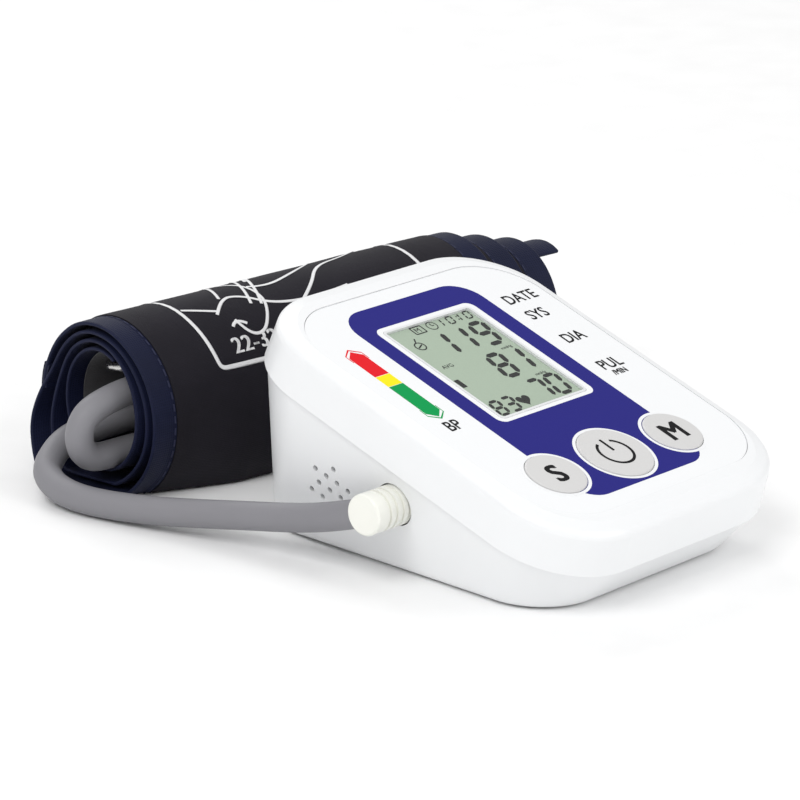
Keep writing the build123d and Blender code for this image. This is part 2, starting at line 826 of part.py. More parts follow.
valve_line = Plane(origin=(valve_x, manifold_y, valve_z), z_dir=(1, 0, 0))
with BuildPart() as air_valve:
    with BuildSketch(valve_line):
        RectangleRounded(valve_side, valve_side, 1)
    extrude(amount=valve_length)
    with BuildSketch(valve_line.offset(valve_length)):
        Circle(plunger_radius + running_gap)
    extrude(amount=plunger_out - plunger_length - plunger_travel - 0.4, mode=Mode.SUBTRACT)
    with BuildSketch(valve_line):
        Circle(nipple_radius)
    extrude(amount=-nipple_length)
air_valve.part.label = "air_valve"
export_step(air_valve.part, "parts/air_valve.step")

with BuildPart() as valve_plunger:
    with BuildSketch(valve_line.offset(valve_length + plunger_out)):
        Circle(plunger_radius)
    extrude(amount=-plunger_length)
valve_plunger.part.label = "valve_plunger"
export_step(valve_plunger.part, "parts/valve_plunger.step")

sensor_depth = board_depth + board_thickness
nozzle_line = Plane(
    origin=face.from_local_coords((manifold_x, sensor_v + sensor_side / 2, -sensor_depth - nozzle_drop)),
    z_dir=face.y_dir,
)
with BuildPart() as pressure_sensor:
    with BuildSketch(face.offset(-sensor_depth)):
        with Locations((manifold_x, sensor_v)):
            Rectangle(sensor_side, sensor_side)
    extrude(amount=-sensor_height)
    with BuildSketch(nozzle_line):
        Circle(nipple_radius)
    extrude(amount=nipple_length)
pressure_sensor.part.label = "pressure_sensor"
export_step(pressure_sensor.part, "parts/pressure_sensor.step")


def bend_radii(points):
    """Largest arc at each corner that leaves both of its runs a tenth of their length."""
    radii = []
    for before, corner, after in zip(points, points[1:], points[2:]):
        shorter = min((corner - before).length, (after - corner).length)
        turn = math.radians((corner - before).get_angle(after - corner))
        radii.append(0.45 * shorter / math.tan(turn / 2))
    return radii


nozzle_tip = nozzle_line.from_local_coords((0, 0, nipple_length))
tube_lead = 5.5
jack_tip_y = jack_y + jack_tube_radius + nipple_length
port_y = manifold_front - nipple_length
inner_tubes = {
    "jack_tube": [Vector(manifold_x, jack_tip_y, jack_z), Vector(manifold_x, port_y, low_port_z)],
    "sensor_tube": [
        nozzle_tip,
        nozzle_tip + face.y_dir * tube_lead,
        Vector(manifold_x, port_y - tube_lead, high_port_z),
        Vector(manifold_x, port_y, high_port_z),
    ],
    "pump_tube": [
        Vector(pump_head_x - nipple_length, pump_y, pump_z),
        Vector(manifold_x, pump_y, pump_z),
        Vector(manifold_x, manifold_back + nipple_length, high_port_z),
    ],
    "valve_tube": [
        Vector(manifold_x + manifold_width / 2 + nipple_length, manifold_y, valve_z),
        Vector(valve_x - nipple_length, manifold_y, valve_z),
    ],
}
for name, points in inner_tubes.items():
    with BuildPart() as tube:
        with BuildLine() as run:
            if len(points) == 2:
                Line(*points)
            else:
                FilletPolyline(*points, radius=bend_radii(points))
        with BuildSketch(Plane(origin=run.line @ 0, z_dir=run.line % 0)):
            Circle(tube_radius)
        sweep()
    tube.part.label = name
    export_step(tube.part, f"parts/{name}.step")

# --- Elbow plug and its seal -------------------------------------------------------------
plug_line = Plane(origin=(plug_inner_x, jack_y, jack_z), z_dir=(-1, 0, 0))
droop = math.radians(outlet_droop)
outlet = Plane(origin=(outlet_x, jack_y, jack_z), z_dir=(0, math.cos(droop), -math.sin(droop)))
seal_x = plug_inner_x + plug_nipple_length - seal_from_end
with BuildPart() as elbow_plug:
    with BuildSketch(plug_line):
        Circle(plug_radius)
    extrude(amount=plug_inner_x - plug_end_x)
    fillet(elbow_plug.edges().sort_by(Axis.X)[0], radius=plug_edge)
    for ring in range(ring_count):
        with BuildSketch(plug_line.offset(ring_pitch * (ring + 0.5))):
            Circle(plug_radius)
            Circle(plug_radius - ring_depth, mode=Mode.SUBTRACT)
        extrude(amount=ring_pitch - ring_width, mode=Mode.SUBTRACT)
    with BuildSketch(plug_line):
        Circle(plug_nipple_radius)
    extrude(amount=-plug_nipple_length)
    with BuildSketch(Plane.YZ.offset(seal_x)):
        with Locations((jack_y, jack_z)):
            Circle(plug_nipple_radius)
            Circle(plug_nipple_radius - seal_depth, mode=Mode.SUBTRACT)
    extrude(amount=-seal_width, mode=Mode.SUBTRACT)
    with BuildSketch(outlet):
        Circle(outlet_radius)
    extrude(amount=outlet_reach)
elbow_plug.part.label = "elbow_plug"
export_step(elbow_plug.part, "parts/elbow_plug.step")

with BuildPart() as plug_seal:
    with BuildSketch(Plane.YZ.offset(seal_x)):
        with Locations((jack_y, jack_z)):
            Circle(plug_nipple_radius + running_gap)
            Circle(plug_nipple_radius - seal_depth, mode=Mode.SUBTRACT)
    extrude(amount=-seal_width)
plug_seal.part.label = "plug_seal"
export_step(plug_seal.part, "parts/plug_seal.step")

# --- Rolled cuff -------------------------------------------------------------------------
# The sheet is wound as half turns whose centres alternate, so that each one meets the next.
half_step = (sheet_thickness + sheet_gap) / 2
bar_radius = roll_radius - half_turn_count * half_step - sheet_thickness - bar_stand
port_axis = roll_radius - (half_turn_count - 1) * half_step - sheet_thickness - port_stand
turn_angle = math.radians(roll_angle)
roll_end = Plane(
    origin=(roll_left[0], roll_left[1], roll_radius - half_step),
    x_dir=(-math.sin(turn_angle), math.cos(turn_angle), 0),
    z_dir=(math.cos(turn_angle), math.sin(turn_angle), 0),
)
cover_turns = [(k, 0, 180) for k in range(half_turn_count)] + [(half_turn_count, 0, tail_arc)]


def wind(turns, outer, inner, left, right, mode=Mode.ADD):
    """Extrude the half turns of the sheet between two depths below its outer surface.

    left and right are taken off the two edges of the cuff.
    """
    for k, start, arc in turns:
        centre = -half_step * (k % 2)
        radius = roll_radius - half_step * k
        first = 180 * (k % 2) + start
        with BuildSketch(roll_end.offset(left_step * k + left)) as section:
            with BuildLine():
                outside = CenterArc((centre, 0), radius - outer, first, arc)
                inside = CenterArc((centre, 0), radius - inner, first, arc)
                Line(outside @ 0, inside @ 0)
                Line(outside @ 1, inside @ 1)
            make_face()
        reach = cuff_width + (right_step - left_step) * k - left - right
        extrude(section.sketch, amount=reach, dir=roll_end.z_dir, mode=mode)


def edge_length(k):
    """Width of the cuff at half turn k."""
    return cuff_width + (right_step - left_step) * k


port_turn = math.radians(port_angle)
port_radial = roll_end.x_dir * math.cos(port_turn) + roll_end.y_dir * math.sin(port_turn)
port = Plane(
    origin=roll_end.from_local_coords(
        (port_axis * math.cos(port_turn) - half_step, port_axis * math.sin(port_turn), port_l)
    ),
    x_dir=roll_end.z_dir,
    z_dir=port_radial,
)
bladder_turns = [(3, 15, 165), (4, 0, 180), (5, 0, 165)]
bladder_outer = sheet_thickness - bladder_cover - bladder_thickness - 2 * bladder_play
bladder_inner = sheet_thickness - bladder_cover

with BuildPart() as cuff_cover:
    wind(cover_turns, 0, sheet_thickness, binding_width, binding_width)
    wind(bladder_turns, bladder_outer, bladder_inner, bladder_inset, bladder_inset, mode=Mode.SUBTRACT)
    with BuildSketch(port.offset(port_stand - 1)):
        Circle(port_neck_radius + running_gap)
    extrude(amount=1 + bladder_cover + bladder_play, mode=Mode.SUBTRACT)
cuff_cover.part.label = "cuff_cover"
export_step(cuff_cover.part, "parts/cuff_cover.step")

with BuildPart() as cuff_bladder:
    shrunk_turns = [(3, 15.5, 164.5), (4, 0, 180), (5, 0, 164.5)]
    wind(
        shrunk_turns,
        bladder_outer + bladder_play,
        bladder_inner - bladder_play,
        bladder_inset + bladder_play,
        bladder_inset + bladder_play,
    )
cuff_bladder.part.label = "cuff_bladder"
export_step(cuff_bladder.part, "parts/cuff_bladder.step")

with BuildPart() as left_binding:
    for turn in cover_turns:
        wind([turn], 0, sheet_thickness, 0, edge_length(turn[0]) - binding_width)
left_binding.part.label = "left_binding"
export_step(left_binding.part, "parts/left_binding.step")

with BuildPart() as right_binding:
    for turn in cover_turns:
        wind([turn], 0, sheet_thickness, edge_length(turn[0]) - binding_width, 0)
right_binding.part.label = "right_binding"
export_step(right_binding.part, "parts/right_binding.step")

with BuildPart() as closure_patch:
    wind([(0, patch_start, patch_sweep)], -patch_thickness, 0, patch_inset, patch_inset)
closure_patch.part.label = "closure_patch"
export_step(closure_patch.part, "parts/closure_patch.step")

with BuildPart() as size_label:
    label_left = label_l - left_step * half_turn_count
    wind(
        [(half_turn_count, label_start, label_sweep)],
        sheet_thickness,
        sheet_thickness + label_thickness,
        label_left,
        edge_length(half_turn_count) - label_left - label_width,
    )
size_label.part.label = "size_label"
export_step(size_label.part, "parts/size_label.step")

with BuildPart() as bladder_port:
    disc_top = port_stand - port_disc_thickness - running_gap - 1
    with BuildSketch(port.offset(disc_top)):
        Circle(port_disc_radius)
    extrude(amount=port_disc_thickness)
    with BuildSketch(port.offset(disc_top)):
        Circle(port_neck_radius)
    extrude(amount=port_stand + bladder_cover - running_gap - disc_top)
    with BuildSketch(port.offset(-port_barb_radius)):
        Circle(port_barb_radius + 0.4)
    extrude(amount=port_barb_radius + disc_top)
    barb = Plane(origin=port.origin, z_dir=-port.x_dir)
    with BuildSketch(barb):
        Circle(port_barb_radius)
    extrude(amount=port_reach)
    with BuildSketch(barb.offset(port_reach - port_collar_length)):
        Circle(port_collar_radius)
    extrude(amount=port_collar_length)
bladder_port.part.label = "bladder_port"
export_step(bladder_port.part, "parts/bladder_port.step")

bar_turn = math.radians(bar_angle)
bar_radial = roll_end.x_dir * math.cos(bar_turn) + roll_end.y_dir * math.sin(bar_turn)
bar_middle = (bar_radius * math.cos(bar_turn), bar_radius * math.sin(bar_turn), bar_l + bar_length / 2)
bar_plane = Plane(origin=roll_end.from_local_coords(bar_middle), x_dir=roll_end.z_dir, z_dir=bar_radial)
bar_x = bar_length / 2 - bar_wire
bar_y = bar_width / 2
with BuildPart() as tail_bar:
    with BuildLine(bar_plane) as bar_path:
        corners = ((-bar_x, -bar_y), (bar_x, -bar_y), (bar_x, bar_y), (-bar_x, bar_y))
        FilletPolyline(*corners, radius=bar_corner, close=True)
    with BuildSketch(Plane(origin=bar_path.line @ 0, z_dir=bar_path.line % 0)):
        Circle(bar_wire)
    sweep()
tail_bar.part.label = "tail_bar"
export_step(tail_bar.part, "parts/tail_bar.step")

# --- Air hose ----------------------------------------------------------------------------
# The first and last runs leave the plug and the bladder port along their own axes.
hose_start = [outlet.from_local_coords((0, 0, outlet_reach + lead)) for lead in (0, hose_lead)]
hose_finish = [barb.from_local_coords((0, 0, port_reach + lead)) for lead in (hose_lead, 0)]
hose_route = [*hose_start, *(Vector(*point) for point in hose_points), *hose_finish]
hose_radii = bend_radii(hose_route)
print("hose radii", [round(radius, 1) for radius in hose_radii])
with BuildPart() as air_hose:
    with BuildLine() as hose_line:
        FilletPolyline(*hose_route, radius=hose_radii)
    with BuildSketch(Plane(origin=hose_line.line @ 0, z_dir=hose_line.line % 0)):
        Circle(hose_diameter / 2)
    sweep()
hose_length = hose_line.wires()[0].length
print("hose length", hose_length)
print("hose volume", air_hose.part.volume, math.pi * hose_diameter**2 / 4 * hose_length)
air_hose.part.label = "air_hose"
export_step(air_hose.part, "parts/air_hose.step")
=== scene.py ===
# %% [markdown]
# # Upper arm blood pressure monitor
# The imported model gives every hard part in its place. This lesson puts a camera in front of it,
# then makes the soft things, the print and the finishes. The scene is in metres. Dimensions of the
# hose, the cuff and the face are written in millimetres and brought down with MM.

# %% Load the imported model
import bmesh
import bpy
import math
from mathutils import Matrix, Vector, noise


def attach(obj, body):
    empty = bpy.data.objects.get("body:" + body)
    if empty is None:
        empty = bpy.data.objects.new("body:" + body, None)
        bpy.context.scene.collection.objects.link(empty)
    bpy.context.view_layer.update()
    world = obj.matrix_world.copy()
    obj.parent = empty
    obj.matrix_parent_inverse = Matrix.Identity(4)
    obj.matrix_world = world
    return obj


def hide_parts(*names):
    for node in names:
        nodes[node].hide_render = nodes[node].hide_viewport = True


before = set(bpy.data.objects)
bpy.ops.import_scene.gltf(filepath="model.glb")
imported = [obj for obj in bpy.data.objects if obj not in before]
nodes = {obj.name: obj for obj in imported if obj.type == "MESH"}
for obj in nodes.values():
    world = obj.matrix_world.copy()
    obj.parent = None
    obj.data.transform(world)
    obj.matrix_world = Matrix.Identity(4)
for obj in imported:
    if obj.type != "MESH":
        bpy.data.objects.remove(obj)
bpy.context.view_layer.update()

MM = 0.001
print("nodes", len(nodes))

# %% [markdown]
# ## Camera, floor and light
# The camera stands low at the left front of the monitor and far away, behind a long lens. A pale
# floor and large soft lamps give plain studio light. The standard view transform keeps the printed
# inks as saturated as they are mixed.

# %% Camera, floor and lamps
camera_data = bpy.data.cameras.new("studio_camera")
camera = bpy.data.objects.new("studio_camera", camera_data)
bpy.context.collection.objects.link(camera)
camera_data.sensor_width = 36.0
camera_data.lens = 186.66
camera_data.clip_end = 20.0
to_right = Vector((0.662844, -0.748379, 0.023813))
to_top = Vector((0.218455, 0.223711, 0.949858))
to_viewer = Vector((-0.716181, -0.624406, 0.311773))
turn = Matrix((to_right, to_top, to_viewer)).transposed().to_4x4()
camera.matrix_world = Matrix.Translation((-0.824874, -0.682743, 0.388267)) @ turn
bpy.context.scene.camera = camera


def link(name, mesh):
    """A new object for a mesh, at the origin."""
    made = bpy.data.objects.new(name, mesh)
    bpy.context.collection.objects.link(made)
    return made


def to_mesh(name, shape):
    """Turn a bmesh into an object."""
    mesh = bpy.data.meshes.new(name)
    shape.to_mesh(mesh)
    shape.free()
    print(name, len(mesh.polygons), "faces")
    return link(name, mesh)


floor_shape = bmesh.new()
bmesh.ops.create_grid(floor_shape, x_segments=2, y_segments=2, size=3.0)
floor = to_mesh("studio_floor", floor_shape)


def lamp(name, place, target, size, power):
    """A square soft lamp that faces a target point."""
    light = bpy.data.lights.new(name, "AREA")
    light.size = size
    light.energy = power
    holder = bpy.data.objects.new(name, light)
    bpy.context.collection.objects.link(holder)
    aim = Vector(place) - Vector(target)
    holder.matrix_world = Matrix.Translation(place) @ aim.to_track_quat("Z", "Y").to_matrix().to_4x4()


lamp_target = (0, 0.02, 0.03)
lamp("key_lamp", (-1.1, -0.2, 1.3), lamp_target, 0.9, 12)
lamp("fill_lamp", (0.5, -1.5, 0.9), lamp_target, 1.2, 9)
lamp("back_lamp", (0.6, 1.4, 1.2), lamp_target, 1.0, 9)
world = bpy.data.worlds.new("studio_world")
bpy.context.scene.world = world
world.use_nodes = True
sky = world.node_tree.nodes["Background"]
sky.inputs["Color"].default_value = (1, 1, 1, 1)
sky.inputs["Strength"].default_value = 0.62
bpy.context.scene.view_settings.view_transform = "Standard"

# %% [markdown]
# ## Finishes
# Each finish is one small node tree: a broad noise varies the base colour and the roughness a little,
# and a fine noise gives a bump. Moulded plastic, rubber, ink and metal differ in those numbers. One
# function makes them all, so that the finish of a piece is a single readable line.

# %% A finish built from two noises and a bump
def finish(
    name, colour, rough, mottle=0.04, grain=900.0, bump=0.02, metal=0.0, coat=0.0, sheen=0.0, shine=0.5
):
    """A node material on Object coordinates; grain is in lumps per metre."""
    made = bpy.data.materials.new(name)
    made.use_nodes = True
    tree = made.node_tree
    shader = tree.nodes["Principled BSDF"]
    shader.inputs["Metallic"].default_value = metal
    shader.inputs["Coat Weight"].default_value = coat
    shader.inputs["Specular IOR Level"].default_value = shine
    shader.inputs["Coat Roughness"].default_value = 0.15
    shader.inputs["Sheen Weight"].default_value = sheen
    where = tree.nodes.new("ShaderNodeTexCoord")
    fine = tree.nodes.new("ShaderNodeTexNoise")
    fine.inputs["Scale"].default_value = grain
    fine.inputs["Detail"].default_value = 3.0
    broad = tree.nodes.new("ShaderNodeTexNoise")
    broad.inputs["Scale"].default_value = 45.0
    broad.inputs["Detail"].default_value = 4.0
    tree.links.new(where.outputs["Object"], fine.inputs["Vector"])
    tree.links.new(where.outputs["Object"], broad.inputs["Vector"])
    tint = tree.nodes.new("ShaderNodeMix")
    tint.data_type = "RGBA"
    tint.inputs["A"].default_value = (*[c * (1 - mottle) for c in colour], 1)
    tint.inputs["B"].default_value = (*[min(1, c * (1 + mottle)) for c in colour], 1)
    tree.links.new(broad.outputs["Fac"], tint.inputs["Factor"])
    tree.links.new(tint.outputs["Result"], shader.inputs["Base Color"])
    gloss = tree.nodes.new("ShaderNodeMapRange")
    gloss.inputs["To Min"].default_value = max(0.03, rough - 0.05)
    gloss.inputs["To Max"].default_value = min(1.0, rough + 0.05)
    tree.links.new(broad.outputs["Fac"], gloss.inputs["Value"])
    tree.links.new(gloss.outputs["Result"], shader.inputs["Roughness"])
    relief = tree.nodes.new("ShaderNodeBump")
    relief.inputs["Strength"].default_value = bump
    relief.inputs["Distance"].default_value = 0.0003
    tree.links.new(fine.outputs["Fac"], relief.inputs["Height"])
    tree.links.new(relief.outputs["Normal"], shader.inputs["Normal"])
    return made


def wear(piece, material):
    """Give a piece this material alone."""
    piece.data.materials.clear()
    piece.data.materials.append(material)


floor_paint = finish("floor_paint", (0.93, 0.93, 0.93), 0.7)
wear(floor, floor_paint)
shell_white = finish("shell_white", (0.84, 0.85, 0.86), 0.3, mottle=0.01, grain=2500, bump=0.05, coat=0.15)
film_white = finish("film_white", (0.86, 0.87, 0.88), 0.22, mottle=0.008, grain=1500, bump=0.02, coat=0.3)
key_grey = finish("key_grey", (0.62, 0.615, 0.61), 0.42, mottle=0.015, grain=4000, bump=0.12)
trim_grey = finish("trim_grey", (0.72, 0.73, 0.74), 0.3, grain=3000)
ivory = finish("ivory_plastic", (0.86, 0.86, 0.8), 0.3, mottle=0.02, grain=1800, bump=0.05, coat=0.2)
hose_rubber = finish("hose_rubber", (0.235, 0.232, 0.25), 0.5, mottle=0.06, grain=1600, bump=0.1, shine=0.25)
tube_rubber = finish("tube_rubber", (0.3, 0.3, 0.3), 0.5, grain=1500, bump=0.1)
black_rubber = finish("black_rubber", (0.025, 0.025, 0.026), 0.6, grain=1500, bump=0.2)
moulded = finish("moulded_plastic", (0.74, 0.74, 0.7), 0.5, grain=2000, bump=0.1)
black_plastic = finish("black_plastic", (0.03, 0.03, 0.033), 0.45, grain=2500, bump=0.1)
steel = finish("nickel_steel", (0.62, 0.62, 0.6), 0.28, grain=3000, metal=1.0)
zinc = finish("zinc_can", (0.5, 0.51, 0.52), 0.38, grain=700, bump=0.05, metal=1.0)
brass = finish("brass_disc", (0.4, 0.31, 0.14), 0.3, grain=900, metal=1.0)
board_green = finish("board_green", (0.02, 0.16, 0.06), 0.4, mottle=0.2, grain=600, bump=0.1, coat=0.2)
cell_sleeve = finish("cell_sleeve", (0.1, 0.11, 0.13), 0.3, mottle=0.1, grain=200, coat=0.4)
bladder_black = finish("bladder_black", (0.03, 0.03, 0.035), 0.55, grain=900, bump=0.15)
crystal = finish("crystal_grey", (0.4, 0.45, 0.38), 0.2, mottle=0.01, grain=500)

# %% Finishes of the hard parts
worn_by = {
    shell_white: ["top_housing", "bottom_housing", "battery_door"],
    film_white: ["face_plate"],
    key_grey: ["power_button", "set_button", "memory_button"],
    trim_grey: ["display_bezel"],
    ivory: ["elbow_plug"],
    moulded: [
        "power_stem", "set_stem", "memory_stem", "lcd_holder", "air_jack",
        "pump_head", "air_manifold", "pressure_sensor", "bladder_port",
    ],
    black_plastic: ["tact_switches", "power_inlet"],
    black_rubber: ["connector_strips", "pump_saddle", "plug_seal"],
    tube_rubber: ["rubber_feet", "jack_tube", "sensor_tube", "pump_tube", "valve_tube"],
    steel: [
        "board_screws", "housing_screws", "battery_contacts", "battery_springs",
        "motor_shaft", "valve_plunger", "tail_bar",
    ],
    zinc: ["pump_motor", "air_valve"],
    brass: ["buzzer"],
    board_green: ["main_board"],
    cell_sleeve: ["battery_cells"],
    bladder_black: ["cuff_bladder"],
    crystal: ["lcd_glass"],
}
for material, names in worn_by.items():
    for name in names:
        wear(nodes[name], material)
print("finished", sum(len(names) for names in worn_by.values()), "hard parts")

# %% [markdown]
# ## Air hose
# The hose is rubber tube that leaves the plug, loops beside the cuff and runs in and out of its roll.
# A NURBS curve with a round bevel keeps one smooth centre line, so the tube never kinks.

# %% Hose on one smooth curve
hose_route = (
    (-54.8, 2.01, 18.41), (-54.8, 12.91, 14.44), (-55.7, 26.0, 11.2), (-58.2, 40.0, 8.9),
    (-61.9, 54.0, 6.8), (-65.9, 67.5, 5.2), (-69.4, 80.0, 4.4), (-71.6, 91.5, 4.3),
    (-71.0, 101.2, 5.4), (-67.2, 108.6, 7.9), (-55.1, 112.3, 13.2), (-43.0, 108.7, 15.1),
    (-21.3, 105.4, 15.1), (6.5, 101.5, 15.2), (34.1, 97.4, 15.2), (58.9, 93.7, 15.1),
    (76.6, 91.0, 15.0), (85.5, 89.7, 15.0), (89.9, 87.1, 16.9), (92.1, 83.6, 20.3),
    (91.5, 79.9, 24.1), (88.4, 77.1, 27.5), (83.5, 75.9, 29.5), (74.6, 77.1, 29.6),
    (56.9, 80.0, 29.4), (32.0, 83.1, 29.6), (4.4, 87.8, 29.4), (-23.3, 91.5, 29.6),
    (-43.1, 94.6, 29.4), (-52.5, 95.9, 28.4), (-60.9, 96.9, 25.9), (-63.8, 97.5, 22.4),
    (-64.4, 97.9, 17.8), (-62.4, 98.0, 13.5), (-58.4, 97.8, 11.1), (-49.8, 97.0, 11.2),
    (-36.5, 95.18, 11.53), (-25.05, 93.49, 11.53),
)
hose_diameter = 0.008
hose_curve = bpy.data.curves.new("air_hose_skin", "CURVE")
hose_curve.dimensions = "3D"
hose_line = hose_curve.splines.new("NURBS")
hose_line.points.add(len(hose_route) - 1)
for point, place in zip(hose_line.points, hose_route):
    point.co = (*[v * MM for v in place], 1)
hose_line.order_u = 3
hose_line.use_endpoint_u = True
hose_line.resolution_u = 10
hose_curve.bevel_depth = hose_diameter / 2
hose_curve.bevel_resolution = 7
hose_curve.use_fill_caps = True
hose = bpy.data.objects.new("air_hose_skin", hose_curve)
bpy.context.collection.objects.link(hose)
wear(hose, hose_rubber)
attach(hose, "cuff_set")
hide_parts("air_hose")

# %% [markdown]
# ## Cuff
# The cuff is one long sheet of coated nylon, wound about a level axis. It is made flat as a grid and
# every vertex is then carried to its place on the roll, so that the weave, the print and the bindings
# can all be laid out on the flat cloth, as they are when it is cut.

# %% Where a point of the flat cuff goes on the roll
roll_turn = math.radians(-8.4)
roll_along = Vector((math.cos(roll_turn), math.sin(roll_turn), 0))
roll_back = Vector((-math.sin(roll_turn), math.cos(roll_turn), 0))
roll_radius = 23.2
half_step = 1.15
roll_origin = Vector((-54.0, 102.8, roll_radius - half_step))
cuff_width = 132.0
left_step, right_step = 0.4, 6.0
whole_half_turns = 6
tail_arc = 115
turns_total = whole_half_turns + tail_arc / 180
half_lengths = [math.pi * (roll_radius - k * half_step) for k in range(whole_half_turns + 1)]
sheet_length = sum(half_lengths[:whole_half_turns]) + half_lengths[whole_half_turns] * tail_arc / 180
cloth_ripple = 0.22

# Places along the roll, in half turns, with what happens there in millimetres.
mouth_sags = ((0.0, 1.2), (1.86, 8.5), (3.84, 3.5))
mouth_depth = 0.45
slack_place, slack_reach, slack_swell = 1.34, 0.24, 7.0
edge_tucks = ((1.05, 4.2, 0.5), (3.1, 2.6, 0.5))
edge_flares = ((1.66, 7.0, 0.25), (3.66, 4.0, 0.25))
upright_stretch, stretch_to_right = 1.07, 0.1
above_table = 0.3


def hump(h, place, reach):
    """A smooth swell of height 1 about one place along the roll."""
    return math.exp(-((h - place) / reach) ** 2)


def half_turn_at(s):
    """The half turn that a length along the sheet has reached, as a number with a fraction."""
    for k, span in enumerate(half_lengths):
        if s <= span or k == len(half_lengths) - 1:
            return k + s / span
        s -= span


def on_roll(s, w, lift=0.0):
    """Place on the roll of a point s along and w (0 to 1) across the flat sheet, in metres.

    The roll is loose: it stands taller than it is wide, more so to the right. At the left mouth its
    turns sag apart towards the back, and each turn's edge lies a little in or out of the next. The
    outer turn is slack low at the front, and no point goes below the table.
    """
    h = half_turn_at(s)
    k = min(int(h), whole_half_turns)
    angle = math.pi * h
    radius = roll_radius - half_step * k + lift
    near_mouth = max(0.0, 1 - w / mouth_depth)
    for peak, swell in mouth_sags:
        radius += swell * near_mouth * hump(h, peak, 0.16 if h > peak else 0.5)
    past_mouth = min(1.0, max(0.0, (w - 0.04) * 5))
    radius += slack_swell * past_mouth * hump(h, slack_place, slack_reach)
    across = -half_step * (k % 2) + radius * math.cos(angle)
    up = radius * math.sin(angle)
    step = max(0.0, min(6.0, h - 0.5))
    tuck = sum(depth * hump(h, peak, reach) for peak, depth, reach in edge_tucks)
    flare = sum(depth * hump(h, peak, reach) for peak, depth, reach in edge_flares)
    left = tuck - flare + left_step * step
    right = cuff_width + right_step * step
    place = roll_origin + roll_along * (left + w * (right - left)) + roll_back * across
    table_gap = above_table + 2 * half_step * ((k - 1) // 2)
    stretch = upright_stretch + stretch_to_right * min(1.0, max(0.0, w))
    place.z = max(table_gap, (place.z + up) * stretch)
    return place * MM


def wave_at(s, w):
    """Unevenness of the cloth at a point, about -1 to 1."""
    broad = noise.noise(Vector((s * 0.035, w * 3.5, 1.7)))
    return broad + 0.5 * noise.noise(Vector((s * 0.11, w * 9, 5)))


print("flat cuff", round(sheet_length), "by", cuff_width)


# %% A wound strip of the sheet
def wound(name, s_from, s_to, w_from, w_to, rows, columns, lift, thick):
    """Wind a flat grid onto the roll and give it a thickness inwards.

    Before it is wound, a vertex holds its lift, its place across and its place along the sheet. The
    ripple calms towards the inner end. The UV map is the flat cloth in metres.
    """
    shape = bmesh.new()
    bmesh.ops.create_grid(shape, x_segments=rows, y_segments=columns, size=0.5)
    flat = shape.loops.layers.uv.new("flat_cloth")
    for vertex in shape.verts:
        s = s_from + (vertex.co.x + 0.5) * (s_to - s_from)
        w = w_from + (vertex.co.y + 0.5) * (w_to - w_from)
        calm = min(1.0, (turns_total - half_turn_at(s)) + 0.3)
        vertex.co = (lift + cloth_ripple * wave_at(s, w) * calm, w, s)
    for face in shape.faces:
        for loop in face.loops:
            loop[flat].uv = (loop.vert.co.z * MM, loop.vert.co.y * cuff_width * MM)
    for vertex in shape.verts:
        vertex.co = on_roll(vertex.co.z, vertex.co.y, vertex.co.x)
    bmesh.ops.recalc_face_normals(shape, faces=shape.faces)
    made = to_mesh(name, shape)
    outward = made.data.polygons[0].normal.dot(roll_back)
    if outward < 0:
        made.data.flip_normals()
    wall = made.modifiers.new("cloth", "SOLIDIFY")
    wall.thickness = thick * MM
    wall.offset = -1.0
    wall.use_rim = True
    return made


cloth_rows = 420
cover = wound("cuff_cloth", 0, sheet_length, 0.057, 0.943, cloth_rows, 46, -0.08, 1.8)
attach(cover, "cuff_set")
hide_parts("cuff_cover")


# %% [markdown]
# ### Woven cloth
# Nylon cloth shows a fine square weave. Two crossed waves on the flat cloth's own UV map give warp
# and weft; they bump the surface and paint light and shade into the colour: painted shade in the gaps
# between threads, painted light on the threads. A broad noise adds the creases of use, as a bump and
# as painted shade, darker in their hollows and lighter on their ridges.

# %% Weave material
wave_repeat = 0.314


